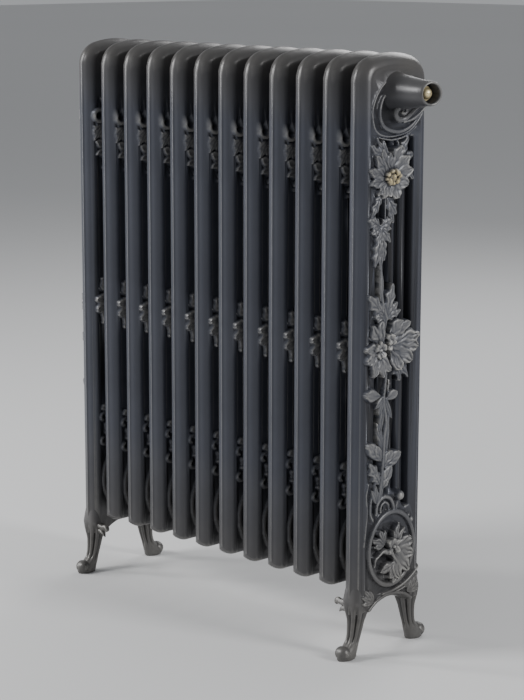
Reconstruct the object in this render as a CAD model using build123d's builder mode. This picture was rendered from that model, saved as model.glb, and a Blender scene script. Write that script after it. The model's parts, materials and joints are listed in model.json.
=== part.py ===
from build123d import *
from math import asin, degrees
import os

# A free-standing cast-iron column radiator of twelve sections.
# X runs along the row of sections, -Y is the front, +Z is up, and the origin is on the
# floor under the middle of the whole object. All lengths are in millimetres.

os.makedirs("parts", exist_ok=True)

# ---- driving dimensions -------------------------------------------------------------
section_count = 12
section_pitch = 62.0
overall_height = 1005.0
section_depth = 159.0            # front ridge to rear ridge
section_thickness = 40.0
section_bottom = 113.0           # underside of a section without legs
wall = 4.5                       # iron around the water
corner_radius = 40.0             # upper corners of a section
crown_radius = 200.0             # gentle arch over the top
column_width = 38.0              # front and rear columns, ridge to slot
recess = 1.0                     # the inner part of a column's side stands this far back

bottom_hub_height = 180.0
top_hub_height = 908.0
hub_radius = 31.0
hub_bore_radius = 21.0
gasket_thickness = 1.5

tube_offset = 25.5               # slim tubes each side of the middle one
tube_width = 19.0
tube_thickness = 30.0
upper_header_bottom = 866.0
lower_header_top = 250.0

hood_height = 943.0              # axis of the vent hood
hood_length = 100.0              # from the section's middle plane to the mouth
hood_radius = 20.0
hood_bore_radius = 15.5
vent_seat = 76.0                 # vent washer's seat, from the section's middle plane
vent_thread_radius = 6.5
vent_thread_length = 12.0
vent_turns = 1.5
vent_thread_pitch = 1.0

bushing_head_length = 16.0
bushing_nose_length = 18.0
port_radius = 9.3                # minor radius of a half-inch pipe thread
port_length = 16.0

running_clearance = 0.05

# ---- places worked out from them ----------------------------------------------------
half_depth = section_depth / 2
half_thickness = section_thickness / 2
joint_reach = section_pitch / 2 - gasket_thickness / 2
left_reach = section_pitch / 2 + gasket_thickness / 2 + bushing_head_length
row_length = (section_count - 1) * section_pitch
first_section = (left_reach - hood_length - row_length) / 2


def section_place(number):
    return first_section + (number - 1) * section_pitch


def numbered(name, number):
    return f"{name}_{number:02d}"


def finish(builder, name):
    builder.part.label = name
    export_step(builder.part, f"parts/{name}.step")
    print(name, "volume", round(builder.part.volume / 1000, 2), "cm3")


# ---- the path round a section: up the front, over the top and down the rear ---------
corner_across = half_depth - corner_radius
crown_centre = overall_height - crown_radius
corner_height = crown_centre + ((crown_radius - corner_radius) ** 2 - corner_across ** 2) ** 0.5
crown_half_angle = degrees(asin(corner_across / (crown_radius - corner_radius)))


def rim_path(start_height):
    with BuildLine(Plane.YZ) as path:
        front = Line((-half_depth, start_height), (-half_depth, corner_height))
        front_corner = JernArc(front @ 1, front % 1, corner_radius, -(90 - crown_half_angle))
        crown = JernArc(front_corner @ 1, front_corner % 1, crown_radius, -2 * crown_half_angle)
        rear_corner = JernArc(crown @ 1, crown % 1, corner_radius, -(90 - crown_half_angle))
        Line(rear_corner @ 1, (half_depth, start_height))
    return path.line


def sweep_plane(height):
    return Plane(origin=(0, -half_depth, height), x_dir=(0, 1, 0), z_dir=(0, 0, 1))


# A column's section. x runs inward from the ridge and y across the thickness: a fine
# ridge on the parting plane, a shallow flute, a round shoulder and a step to the side.
with BuildSketch(sweep_plane(section_bottom)) as column_shape:
    with BuildLine() as column_outline:
        ridge = ThreePointArc((0, 0), (0.5, 1.4), (1.6, 2.4))
        flute = ThreePointArc(ridge @ 1, (5.6, 10.2), (8.8, 17.4))
        shoulder = ThreePointArc(flute @ 1, (10.2, 19.2), (12.8, half_thickness))
        side = Line(shoulder @ 1, (19, half_thickness))
        step = Line(side @ 1, (20.4, half_thickness - recess))
        panel = Line(step @ 1, (33, half_thickness - recess))
        edge = ThreePointArc(panel @ 1, (36.6, 17), (column_width, 12.5))
        Line(edge @ 1, (column_width, 0))
        mirror(about=Plane.XZ)
    make_face()

water_start = section_bottom + 22
with BuildSketch(sweep_plane(water_start)) as column_water:
    with BuildLine() as water_outline:
        Polyline((6.5, 0), (9, 6), (14, 14.5), (33, 14.5), (33.5, 12), (33.5, 0))
        mirror(about=Plane.XZ)
    make_face()


slim_tubes = (-tube_offset, 0, tube_offset)
tube_roots = 10                  # how far a slim tube runs into a header
header_width = 90.0
header_top = corner_height + 14
pad_half_across = 59.0           # oval pad round the lower hub
pad_half_height = 66.0
scroll_pad_radius = 41.0         # round pad about the upper hub
pad_height = 4.0
bevel_across = 15.0              # lower corners of a section
bevel_height = 22.0

# ---- a middle section, hollow, with a round hub at each joint ------------------------
with BuildPart() as plain_section:
    sweep(sections=column_shape.sketch, path=rim_path(section_bottom))
    # upper and lower headers, which tie the five columns together
    with BuildSketch(Plane.YZ):
        with Locations((0, (upper_header_bottom + header_top) / 2)):
            Rectangle(header_width, header_top - upper_header_bottom)
        with Locations((0, (section_bottom + lower_header_top) / 2)):
            Rectangle(header_width, lower_header_top - section_bottom)
    extrude(amount=half_thickness - recess, both=True)
    # three slim tubes between the headers
    with BuildSketch(Plane.XY.offset(lower_header_top - tube_roots)):
        for across in slim_tubes:
            with Locations((0, across)):
                RectangleRounded(tube_thickness, tube_width, 8.5)
    extrude(amount=upper_header_bottom - lower_header_top + 2 * tube_roots)
    # oval pad round the lower hub, and the scroll pad round the upper one
    with BuildSketch(Plane.YZ):
        with Locations((0, bottom_hub_height)):
            Ellipse(pad_half_across, pad_half_height)
    extrude(amount=half_thickness + pad_height, both=True)
    with BuildSketch(Plane.YZ):
        with Locations((0, top_hub_height)):
            Circle(scroll_pad_radius)
    extrude(amount=half_thickness + pad_height, both=True)
    # bevelled lower corners
    with BuildSketch(Plane.YZ):
        with BuildLine():
            Polyline((half_depth + 1, section_bottom - 1),
                     (half_depth + 1, section_bottom + bevel_height),
                     (half_depth - bevel_across, section_bottom - 1), close=True)
        make_face()
        mirror(about=Plane.YZ)
    extrude(amount=section_thickness, both=True, mode=Mode.SUBTRACT)

# ---- the water space inside every section --------------------------------------------
header_water_width = 112.0
header_water_top = 960.0
header_water_bottom = section_bottom + 10

with BuildPart() as water:
    sweep(sections=column_water.sketch, path=rim_path(water_start))
    with BuildSketch(Plane.YZ):
        with Locations((0, (upper_header_bottom + wall + header_water_top) / 2)):
            Rectangle(header_water_width, header_water_top - upper_header_bottom - wall)
        with Locations((0, (header_water_bottom + lower_header_top - wall) / 2)):
            Rectangle(header_water_width, lower_header_top - wall - header_water_bottom)
    extrude(amount=half_thickness - recess - wall, both=True)
    with BuildSketch(Plane.XY.offset(lower_header_top - 15)):
        for across in slim_tubes:
            with Locations((0, across)):
                RectangleRounded(tube_thickness - 2 * wall, tube_width - 2 * wall, 4)
    extrude(amount=upper_header_bottom - lower_header_top + 30)


def rod_along_row(start, end, height, radius, mode=Mode.ADD):
    with Locations(Location((start, 0, height), (0, 90, 0))):
        Cylinder(radius, end - start, align=(Align.CENTER, Align.CENTER, Align.MIN), mode=mode)


def hubs(start, end):
    for height in (bottom_hub_height, top_hub_height):
        rod_along_row(start, end, height, hub_radius)


def hub_bores(start, end):
    for height in (bottom_hub_height, top_hub_height):
        rod_along_row(start, end, height, hub_bore_radius, Mode.SUBTRACT)


with BuildPart() as middle_section:
    add(plain_section.part)
    hubs(-joint_reach, joint_reach)
    add(water.part, mode=Mode.SUBTRACT)
    hub_bores(-joint_reach, joint_reach)

# ---- a cabriole leg, cast in one with an end section -----------------------------------
knee_across = 66.0
arch_half_width = 49.0
arch_foot = 80.0
arch_crown = 96.0
web_thickness = 24.0

# height, distance out from the middle plane, half width along the row and across it
leg_stations = (
    (150, 57, 17.0, 18.0),
    (122, 58, 18.5, 19.5),
    (100, 59, 18.5, 20.0),
    (84, 60.5, 18.0, 18.5),
    (66, 62.5, 15.5, 15.5),
    (50, 65, 13.7, 13.7),
    (38, 67.5, 12.5, 12.5),
    (29, 70.5, 12.0, 12.5),
    (22, 75, 12.5, 16.0),
    (15, 81, 13.0, 20.0),
    (9, 84.5, 13.5, 21.5),
    (3, 84.8, 13.0, 21.0),
    (0, 84.8, 11.0, 18.5),
)


def leg(side, inward):
    with BuildPart() as shaft:
        for height, out, along, across in leg_stations:
            with BuildSketch(Plane.XY.offset(height)):
                with Locations((0, side * out)):
                    Ellipse(along, across)
        loft()
    # the curled leaf on the knee, which points along the row
    with BuildPart() as curl:
        for along, height, wide, tall in ((12, 94, 12, 14), (37, 86, 7, 8)):
            with BuildSketch(Plane.YZ.offset(inward * along)):
                with Locations((side * knee_across, height)):
                    Ellipse(wide, tall)
        loft()
    return [shaft.part, curl.part]


def leg_pair(inward):
    limbs = leg(-1, inward) + leg(1, inward)
    with BuildPart() as pair:
        add(limbs)
        # the arched web between the two knees
        with BuildSketch(Plane.YZ):
            with BuildLine():
                rear = Polyline((arch_half_width, arch_foot), (knee_across, arch_foot),
                                (knee_across, section_bottom + 8), (-knee_across, section_bottom + 8),
                                (-knee_across, arch_foot), (-arch_half_width, arch_foot))
                ThreePointArc(rear @ 1, (0, arch_crown), rear @ 0)
            make_face()
        extrude(amount=web_thickness / 2, both=True)
    return pair.part


# ---- left section: both hubs open to the pipes -----------------------------------------
left_legs = leg_pair(1)
with BuildPart() as left_section:
    add([plain_section.part, left_legs])
    hubs(-section_pitch / 2, joint_reach)
    add(water.part, mode=Mode.SUBTRACT)
    hub_bores(-section_pitch / 2, joint_reach)

# ---- right section: blind hubs, the oval medallion, the scroll and the vent hood --------
mouth_slope = 15                 # the mouth leans back towards the front
medallion_height = 8.0
medallion_rim_width = 8.0
horn_root_radius = 33.0
air_way_radius = 4.0
right_legs = leg_pair(-1)
with BuildPart() as right_section:
    add([plain_section.part, right_legs])
    hubs(-joint_reach, 0)
    # raised oval rim round the medallion
    with BuildSketch(Plane.YZ):
        with Locations((0, bottom_hub_height)):
            Ellipse(pad_half_across, pad_half_height)
            Ellipse(pad_half_across - medallion_rim_width, pad_half_height - medallion_rim_width,
                    mode=Mode.SUBTRACT)
    extrude(amount=half_thickness + medallion_height)
    # horn-shaped hood, wide where it leaves the section and narrow at its mouth
    with BuildSketch(Plane.XY.offset(hood_height)):
        with BuildLine():
            root = Line((0, 0), (0, horn_root_radius))
            foot = Line(root @ 1, (half_thickness - 2, horn_root_radius))
            flare = ThreePointArc(foot @ 1, (30, 24.4), (56, hood_radius))
            barrel = Line(flare @ 1, (hood_length, hood_radius))
            Polyline(barrel @ 1, (hood_length, 0), (0, 0))
        make_face()
    revolve(axis=Axis((0, 0, hood_height), (1, 0, 0)))
    add(water.part, mode=Mode.SUBTRACT)
    hub_bores(-joint_reach, 0)
    # hood bore, the vent's thread and the air way from the water space
    with BuildSketch(Plane.XY.offset(hood_height)):
        with BuildLine():
            Polyline((0, 0), (0, air_way_radius), (vent_seat - vent_thread_length - 2, air_way_radius),
                     (vent_seat - vent_thread_length - 2, vent_thread_radius),
                     (vent_seat, vent_thread_radius), (vent_seat, hood_bore_radius),
                     (hood_length + 1, hood_bore_radius), (hood_length + 1, 0), (0, 0))
        make_face()
    revolve(axis=Axis((0, 0, hood_height), (1, 0, 0)), mode=Mode.SUBTRACT)
    # oblique mouth
    mouth_plane = Plane(origin=(hood_length, hood_radius, hood_height),
                        z_dir=Vector(1, 0, 0).rotate(Axis.Z, -mouth_slope))
    with BuildSketch(mouth_plane):
        Rectangle(200, 60)
    extrude(amount=30, mode=Mode.SUBTRACT)

# ---- the twelve sections in their places -------------------------------------------------
for number in range(1, section_count + 1):
    casting = middle_section
    if number == 1:
        casting = left_section
    if number == section_count:
        casting = right_section
    with BuildPart() as section:
        with Locations((section_place(number), 0, 0)):
            add(casting.part)
    finish(section, numbered("section", number))

# ---- nipples and gaskets at every joint ----------------------------------------------------
nipple_length = 44.0
nipple_bore_radius = 16.0
lug = 5.0
lug_length = 20.0


def joint_place(number):
    return section_place(number) + section_pitch / 2


def ring(start, length, height, outer, inner):
    rod_along_row(start, start + length, height, outer)
    rod_along_row(start, start + length, height, inner, Mode.SUBTRACT)


for name, height in (("top", top_hub_height), ("bottom", bottom_hub_height)):
    for number in range(1, section_count):
        with BuildPart() as nipple:
            ring(joint_place(number) - nipple_length / 2, nipple_length, height,
                 hub_bore_radius, nipple_bore_radius)
            # two inner lugs that the long joining key turns
            with BuildSketch(Plane.YZ.offset(joint_place(number) - lug_length / 2)):
                with Locations((nipple_bore_radius - 1, height), (1 - nipple_bore_radius, height)):
                    Rectangle(lug, lug)
            extrude(amount=lug_length)
        finish(nipple, numbered(f"{name}_nipple", number))
    with BuildPart() as gaskets:
        for number in range(1, section_count):
            ring(joint_place(number) - gasket_thickness / 2, gasket_thickness, height,
                 hub_radius - 1, hub_bore_radius)
    finish(gaskets, f"{name}_gaskets")

# ---- reducing bushings for the two pipes, at the left end -----------------------------------
hub_face = first_section - section_pitch / 2
hexagon_radius = 29.0
nose_bore_radius = 11.0
for name, height in (("flow", top_hub_height), ("return", bottom_hub_height)):
    with BuildPart() as bushing_gasket:
        ring(hub_face - gasket_thickness, gasket_thickness, height, hub_radius - 1, hub_bore_radius)
    finish(bushing_gasket, f"{name}_bushing_gasket")
    head_start = hub_face - gasket_thickness - bushing_head_length
    with BuildPart() as bushing:
        with BuildSketch(Plane.YZ.offset(head_start)):
            with Locations((0, height)):
                RegularPolygon(hexagon_radius, 6)
        extrude(amount=bushing_head_length)
        outer_face = bushing.faces().sort_by(Axis.X)[0]
        chamfer(outer_face.edges(), 1.5)
        ring(head_start + bushing_head_length, bushing_nose_length + gasket_thickness, height,
             hub_bore_radius, nose_bore_radius)
        rod_along_row(head_start, head_start + port_length, height, port_radius, Mode.SUBTRACT)
    finish(bushing, f"{name}_bushing")

# ---- brass air vent inside the hood ----------------------------------------------------------
vent_axis = Axis((section_place(section_count), 0, hood_height), (1, 0, 0))
vent_start = section_place(section_count)
washer_thickness = 1.5
flange_start = vent_seat + washer_thickness
flange_length = 4.0
flange_radius = 12.5
seat_length = 3.0
spindle_radius = 3.0
air_hole_radius = 1.2
jumper_radius = 3.0
jumper_length = 3.0


def turned(points):
    with BuildPart() as shape:
        with BuildSketch(Plane.XY.offset(hood_height)):
            with BuildLine():
                Polyline([(vent_start + x, r) for x, r in points], close=True)
            make_face()
        revolve(axis=vent_axis)
    return shape


with BuildPart() as vent_washer:
    ring(vent_start + vent_seat, washer_thickness, hood_height, 10, vent_thread_radius)
finish(vent_washer, "vent_washer")

body_start = vent_seat - vent_thread_length
body_end = flange_start + flange_length
bore_start = body_start + seat_length
bore_radius = spindle_radius + running_clearance
vent_body = turned([(body_start, air_hole_radius), (body_start, vent_thread_radius),
                    (flange_start, vent_thread_radius), (flange_start, flange_radius),
                    (body_end - 1, flange_radius), (body_end, flange_radius - 1),
                    (body_end, bore_radius), (bore_start, bore_radius),
                    (bore_start, air_hole_radius)])
finish(vent_body, "vent_body")

vent_jumper = turned([(bore_start, 0), (bore_start, jumper_radius),
                      (bore_start + jumper_length, jumper_radius),
                      (bore_start + jumper_length, 0)])
finish(vent_jumper, "vent_jumper")

screw_start = bore_start + jumper_length + running_clearance
head_start = body_end + running_clearance
head_radius = 9.5
head_length = 9.0
slot_width = 1.8
with BuildPart() as vent_screw:
    with BuildSketch(Plane.XY.offset(hood_height)):
        with BuildLine():
            Polyline((vent_start + screw_start, 0), (vent_start + screw_start, spindle_radius),
                     (vent_start + head_start, spindle_radius), (vent_start + head_start, head_radius),
                     (vent_start + head_start + 2, head_radius))
            ThreePointArc((vent_start + head_start + 2, head_radius),
                          (vent_start + head_start + 7, 6.3), (vent_start + head_start + head_length, 0))
            Line((vent_start + head_start + head_length, 0), (vent_start + screw_start, 0))
        make_face()
    revolve(axis=vent_axis)
    # screwdriver slot across the dome
    slot_bottom = head_start + head_length - 3
    with BuildSketch(Plane.YZ.offset(vent_start + slot_bottom)):
        with Locations((0, hood_height)):
            Rectangle(2 * head_radius, slot_width)
    extrude(amount=4, mode=Mode.SUBTRACT)
finish(vent_screw, "vent_screw")

print("first section at", round(first_section, 3), "last at", round(section_place(section_count), 3))
print("vent lift", vent_turns * vent_thread_pitch, "mm in", vent_turns, "turns")
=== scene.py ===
import json
from math import atan2, cos, pi, radians, sin

import bpy
import numpy as np
from mathutils import Matrix, Vector


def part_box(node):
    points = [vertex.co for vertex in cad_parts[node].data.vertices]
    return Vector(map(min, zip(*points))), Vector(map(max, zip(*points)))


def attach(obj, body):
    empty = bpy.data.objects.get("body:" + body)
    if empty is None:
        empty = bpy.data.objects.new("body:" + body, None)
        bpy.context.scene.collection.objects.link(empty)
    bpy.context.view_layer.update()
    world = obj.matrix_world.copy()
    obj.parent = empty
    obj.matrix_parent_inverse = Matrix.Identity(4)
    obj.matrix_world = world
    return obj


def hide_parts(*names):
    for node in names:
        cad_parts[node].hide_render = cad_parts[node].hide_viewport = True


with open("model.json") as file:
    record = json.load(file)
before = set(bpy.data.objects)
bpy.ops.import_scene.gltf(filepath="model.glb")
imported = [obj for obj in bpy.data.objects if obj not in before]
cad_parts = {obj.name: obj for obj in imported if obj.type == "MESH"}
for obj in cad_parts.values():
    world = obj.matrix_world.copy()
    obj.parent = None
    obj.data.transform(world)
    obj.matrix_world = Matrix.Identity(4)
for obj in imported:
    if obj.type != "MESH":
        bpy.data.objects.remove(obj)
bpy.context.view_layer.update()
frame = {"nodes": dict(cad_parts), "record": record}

# An ornate cast-iron column radiator. Shapes are worked out in millimetres in the frame's
# own axes and scaled to metres when a mesh is made. Each section is one skin: a height over
# its middle plane, given by where a point lies across (y) and up (z) the section.

MM = 0.001


# ---- sizes read from the frame ---------------------------------------------------------
def box_mm(node):
    low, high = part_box(node)
    return np.array(low) / MM, np.array(high) / MM


def middle_x(node):
    low, high = box_mm(node)
    return (low[0] + high[0]) / 2


plain_low, plain_high = box_mm("section_06")
PITCH = (middle_x("section_11") - middle_x("section_02")) / 9
SECTION_X = {n: middle_x("section_02") + (n - 2) * PITCH for n in range(1, 13)}
HALF_DEPTH = plain_high[1]
BOTTOM = plain_low[2]
TOP = plain_high[2]
JOINT_REACH = (plain_high[0] - plain_low[0]) / 2
HOOD_Z = np.mean([box_mm("vent_body")[0][2], box_mm("vent_body")[1][2]])
HUB_Z = {"top": np.mean([box_mm("top_nipple_01")[k][2] for k in (0, 1)]),
         "bottom": np.mean([box_mm("bottom_nipple_01")[k][2] for k in (0, 1)])}

HALF_THICKNESS = 20.0
FACE = 19.0                      # half thickness inside the step of each face
CORNER_R = 40.0
CROWN_R = 200.0
HUB_R = 31.0
HUB_BORE_R = 21.0
SLOT_HIGH = 866.0
SLOTS = ((-41.5, -35.0, 250.0), (-16.0, -9.0, 279.0), (9.0, 16.0, 279.0), (35.0, 41.5, 250.0))
SLIM_HALF = 35.2                 # the slim columns stand inside this distance from the middle
TUBE_HALF_THICKNESS = 15.0
MIDDLE_ZONES = ((113.0, 330.0), (470.0, 574.0), (765.0, 905.0))
LOW = -99.0                      # a relief's height where it has none
# how strongly the dry brush caught the plainer shapes
WORN = {"leg": 0.10, "toe": 0.16, "curl": 0.14, "hood": 0.05, "scroll": 0.20}


# ---- small helpers ---------------------------------------------------------------------
def smooth(value, start, end):
    t = np.clip((value - start) / (end - start), 0, 1)
    return t * t * (3 - 2 * t)


def arc_points(a, b, c, count):
    """Points of the circle's arc from a through b to c."""
    (ax, ay), (bx, by), (cx, cy) = a, b, c
    d = 2 * (ax * (by - cy) + bx * (cy - ay) + cx * (ay - by))
    ux = ((ax**2 + ay**2) * (by - cy) + (bx**2 + by**2) * (cy - ay) + (cx**2 + cy**2) * (ay - by)) / d
    uy = ((ax**2 + ay**2) * (cx - bx) + (bx**2 + by**2) * (ax - cx) + (cx**2 + cy**2) * (bx - ax)) / d
    radius = np.hypot(ax - ux, ay - uy)
    angles = np.unwrap([atan2(y - uy, x - ux) for x, y in (a, b, c)])
    sweep = np.linspace(angles[0], angles[2], count)
    return np.stack([ux + radius * np.cos(sweep), uy + radius * np.sin(sweep)], axis=1)


def spread(stops, step):
    """Sorted grid lines through every stop, with gaps of at most step(middle)."""
    stops = sorted(set(np.round(stops, 4)))
    lines = [stops[0]]
    for low, high in zip(stops, stops[1:]):
        count = max(1, int(np.ceil((high - low) / step((low + high) / 2) - 0.01)))
        lines += list(np.linspace(low, high, count + 1)[1:])
    return np.array(lines)


# ---- the section's outline ---------------------------------------------------------------
CORNER_Y = HALF_DEPTH - CORNER_R
CROWN_Z = TOP - CROWN_R
CORNER_Z = CROWN_Z + ((CROWN_R - CORNER_R) ** 2 - CORNER_Y**2) ** 0.5
CROWN_ANGLE = np.arcsin(CORNER_Y / (CROWN_R - CORNER_R))
BEVEL_Y, BEVEL_Z = 15.0, 22.0
ARCH_Z, ARCH_RISE, ARCH_HALF = 76.0, 16.0, 49.0
WARP_Z = SLOT_HIGH + 4


def arch_height(y):
    return ARCH_Z + ARCH_RISE * np.clip(1 - (y / ARCH_HALF) ** 2, 0, 1)


def side_distance(y, z):
    """How far a point lies inside the outline's sides, corners and crown."""
    side = HALF_DEPTH - np.abs(y)
    crown = CROWN_R - np.hypot(y, z - CROWN_Z)
    dy, dz = np.abs(y) - CORNER_Y, z - CORNER_Z
    in_corner = (dy > 0) & (dz > 0) & (np.arctan2(dz, dy) < pi / 2 - CROWN_ANGLE)
    distance = np.minimum(side, np.where(z > CORNER_Z - 60, crown, side))
    return np.where(in_corner, CORNER_R - np.hypot(dy, dz), distance)


def foot_distance(y, z, legged):
    """How far a point lies above the section's underside."""
    if legged:
        return z - arch_height(y)
    dy = (np.abs(y) - HALF_DEPTH + BEVEL_Y) / BEVEL_Y
    dz = (BOTTOM + BEVEL_Z - z) / BEVEL_Z
    round_corner = (1 - np.hypot(dy, dz)) * BEVEL_Z
    return np.where((dy > 0) & (dz > 0), round_corner, z - BOTTOM)


NOSE_STEPS = (0, 0.3, 0.8, 1.6, 2.6, 4.0, 5.6, 7.2, 8.8, 9.6, 10.8, 12.8, 19, 20.4)
NOSE = np.concatenate([
    arc_points((0, 0), (0.5, 1.3), (1.5, 2.2), 6),
    arc_points((1.5, 2.2), (4.6, 10.6), (9.6, 17.0), 12)[1:],
    arc_points((9.6, 17.0), (13.4, 19.3), (18.0, HALF_THICKNESS), 10)[1:],
    [(19, HALF_THICKNESS), (20.4, FACE), (60, FACE)],
])
UNDERSIDE_R = 8.0
DOME_WIDTH = 25.0


def slot_distance(y, z):
    """How far a point lies outside the nearest slot between two columns."""
    nearest = np.full(y.shape, 1e3)
    for low, high, foot in SLOTS:
        dy = np.maximum(low - y, y - high)
        dz = np.maximum(foot - z, z - SLOT_HIGH)
        outside = np.hypot(np.maximum(dy, 0), np.maximum(dz, 0))
        nearest = np.minimum(nearest, outside + np.minimum(np.maximum(dy, dz), 0))
    return nearest


def plain_height(y, z, legged):
    """Half thickness of the casting without its ornament."""
    rim = np.maximum(side_distance(y, z), 0)
    foot = np.clip(foot_distance(y, z, legged) / UNDERSIDE_R, 0, 1)
    nose = np.interp(rim, NOSE[:, 0], NOSE[:, 1])
    dome = HALF_THICKNESS * np.sqrt(1 - (1 - np.clip(rim / DOME_WIDTH, 0, 1)) ** 2)
    domed = 0.55 * smooth(z, 872, 950)
    height = np.minimum(nose * (1 - domed) + dome * domed, HALF_THICKNESS * np.sqrt(1 - (1 - foot) ** 2))
    slot = slot_distance(y, z)
    slot_foot = np.where(np.abs(y) < 20, SLOTS[1][2], SLOTS[0][2])
    between = smooth(z, slot_foot - 10, slot_foot + 6) * (1 - smooth(z, SLOT_HIGH - 6, SLOT_HIGH + 10))
    slim = (np.abs(y) < SLIM_HALF) * between
    cap = FACE + (TUBE_HALF_THICKNESS - FACE) * slim
    reach = 5 + 4.5 * slim
    rounded = cap * np.sqrt(1 - (1 - np.clip(slot / reach, 0, 1)) ** 2)
    near = slot < reach
    height = np.where(near | (slim > 0), np.minimum(height, rounded), height)
    return np.where(slot <= 1e-6, 0, height)


# ---- ornament: each form gives a height above the face, or LOW where it isn't ------------
def petal(y, z, root, tip, width, heights, blunt=1.0, cup=0.0, vein=0.5, lobes=0, side_veins=0.0, curl=0.0,
          pillow=0.45):
    """A petal or leaf from root to tip, with its heights at the root, middle and tip."""
    run = np.subtract(tip, root)
    length = np.hypot(*run)
    along = ((y - root[0]) * run[0] + (z - root[1]) * run[1]) / length**2
    across = ((z - root[1]) * run[0] - (y - root[0]) * run[1]) / length
    u = np.clip(along, 0, 1)
    outline = np.sin(pi * u**blunt) ** 0.7
    if lobes:
        outline *= 1 + 0.22 * np.cos(2 * pi * lobes * u)
    n = across / np.maximum(width / 2 * outline, 1e-6)
    low, middle, high = heights
    rise = low * (1 - u) * (1 - 2 * u) + 4 * middle * u * (1 - u) + high * u * (2 * u - 1)
    a = np.clip(np.abs(n), 0, 1)
    form = rise * (1 - pillow * a**3) + cup * a**2 - vein * np.exp(-((n / 0.13) ** 2)) - 1.2 * a**10
    form += side_veins * np.cos(2 * pi * (3.2 * u - 1.1 * a)) * np.sin(pi * a) * np.sin(pi * u)
    form += curl * u**2 * np.cos(3 * pi * n)
    inside = (along > 0) & (along < 1) & (np.abs(n) < 1)
    return np.where(inside, form, LOW)


def stalk(y, z, points, radii, lift):
    """A round stem through the points, thick as radii says from end to end."""
    points = np.array(points, float)
    count = len(points)
    best = np.full(y.shape, LOW)
    radii = np.interp(np.linspace(0, 1, count), np.linspace(0, 1, len(radii)), radii)
    for k in range(count - 1):
        run = points[k + 1] - points[k]
        t = np.clip(((y - points[k][0]) * run[0] + (z - points[k][1]) * run[1]) / (run @ run), 0, 1)
        gap = np.hypot(y - points[k][0] - t * run[0], z - points[k][1] - t * run[1])
        radius = radii[k] * (1 - t) + radii[k + 1] * t
        round_top = np.sqrt(np.maximum(radius**2 - gap**2, 0))
        best = np.maximum(best, np.where(gap < radius, lift + round_top, LOW))
    return best


def ball(y, z, place, radius, lift):
    gap = np.hypot(y - place[0], z - place[1])
    return np.where(gap < radius, lift + np.sqrt(np.maximum(radius**2 - gap**2, 0)), LOW)


def curve(points, count=24):
    """A smooth line through a few points."""
    points = np.array(points, float)
    padded = np.vstack([2 * points[0] - points[1], points, 2 * points[-1] - points[-2]])
    steps = max(2, count // (len(points) - 1))
    line = []
    for p0, p1, p2, p3 in zip(padded, padded[1:], padded[2:], padded[3:]):
        for t in np.linspace(0, 1, steps, endpoint=False):
            line.append(0.5 * (2 * p1 + (p2 - p0) * t + (2 * p0 - 5 * p1 + 4 * p2 - p3) * t**2
                               + (3 * p1 - p0 - 3 * p2 + p3) * t**3))
    return np.array(line + [points[-1]])


def spiral(centre, start_radius, end_radius, start_angle, turns, count=40):
    t = np.linspace(0, 1, count)
    radius = start_radius + (end_radius - start_radius) * t
    angle = radians(start_angle) + 2 * pi * turns * t
    return np.stack([centre[0] + radius * np.cos(angle), centre[1] + radius * np.sin(angle)], axis=1)


def fan(y, z, root, leaves, width, heights, **look):
    """Several petals from one root: each is (tip y, tip z) or (tip y, tip z, width)."""
    best = np.full(y.shape, LOW)
    for leaf in leaves:
        own = leaf[2] if len(leaf) > 2 else width
        best = np.maximum(best, petal(y, z, root, leaf[:2], own, heights, **look))
    return best


def oval_rim(y, z, centre, half_y, half_z, width, lift, height):
    ratio = np.hypot((y - centre[0]) / half_y, (z - centre[1]) / half_z)
    gap = np.abs(ratio - 1) * min(half_y, half_z)
    bead = np.sqrt(np.maximum(1 - (gap / width) ** 2, 0))
    return np.where(gap < width, lift + height * bead, LOW)


def wander(y, z):
    """Coordinates bent by about a millimetre, so that no two petals come out alike."""
    return (y + 1.4 * np.sin(0.27 * z + 0.15 * y) + 0.2 * np.sin(0.83 * z - 0.4 * y),
            z + 1.4 * np.sin(0.25 * y - 0.19 * z) + 0.2 * np.sin(0.79 * y + 0.5 * z))


def top_flower(y, z):
    y, z = wander(y, z)
    heart = (-14.0, 805.0)
    parts = [
        # leaves behind, up to the scroll
        fan(y, z, (-22, 832), [(-61, 859, 17), (-47, 871, 15), (-32, 866, 13)], 15,
            (2, 4.5, 3), lobes=3, vein=0.9, side_veins=0.6),
        fan(y, z, (2, 828), [(3, 864, 16), (27, 870, 18), (40, 842, 18), (43, 800, 16)], 16,
            (2, 4.5, 3), lobes=3, vein=0.9, side_veins=0.6),
        # long petals of the left half, tips curled up
        fan(y, z, heart, [(-54, 843, 19), (-66, 819, 20), (-66, 797, 20), (-47, 778, 19), (-38, 852, 17),
                          (-21, 846, 16)], 19, (2.5, 5.5, 7), blunt=1.35, cup=1.0, vein=1.4,
                          side_veins=0.6, curl=0.9),
        fan(y, z, heart, [(-22, 773, 22), (-36, 774, 16)], 20,
            (3, 6.5, 8.5), blunt=1.5, cup=1.6, vein=1.0, side_veins=0.3, curl=0.9),
        # broad folded petals of the right half
        fan(y, z, heart, [(6, 858, 26), (24, 838, 30), (33, 816, 28), (23, 791, 28), (1, 769, 24)], 28,
            (2.5, 6, 9), blunt=1.7, cup=2.6, vein=0.9, side_veins=0.4, curl=1.1),
    ]
    parts.append(ball(y, z, heart, 9.0, 3.0))
    beads = ((-11, 6, 5.0, 7.5), (-3, 10, 4.2, 8.0), (8, 9, 5.6, 8.5), (14, 2, 4.6, 8.0), (9, -6, 5.8, 8.0),
             (0, -8, 4.0, 7.5), (-9, -5, 6.0, 7.0), (1, 2, 4.6, 9.5), (-15, -1, 3.6, 6.5))
    for across, up, radius, lift in beads:
        parts.append(ball(y, z, (heart[0] + across, heart[1] + up), radius, lift))
    return np.maximum.reduce(parts)


def heart_bead(y, z):
    """Where the gilded heart of the top flower lies."""
    return np.clip(1.15 - (np.hypot((y + 14.0) / 19.0, (z - 805.0) / 14.5)) ** 4, 0, 1)


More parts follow.
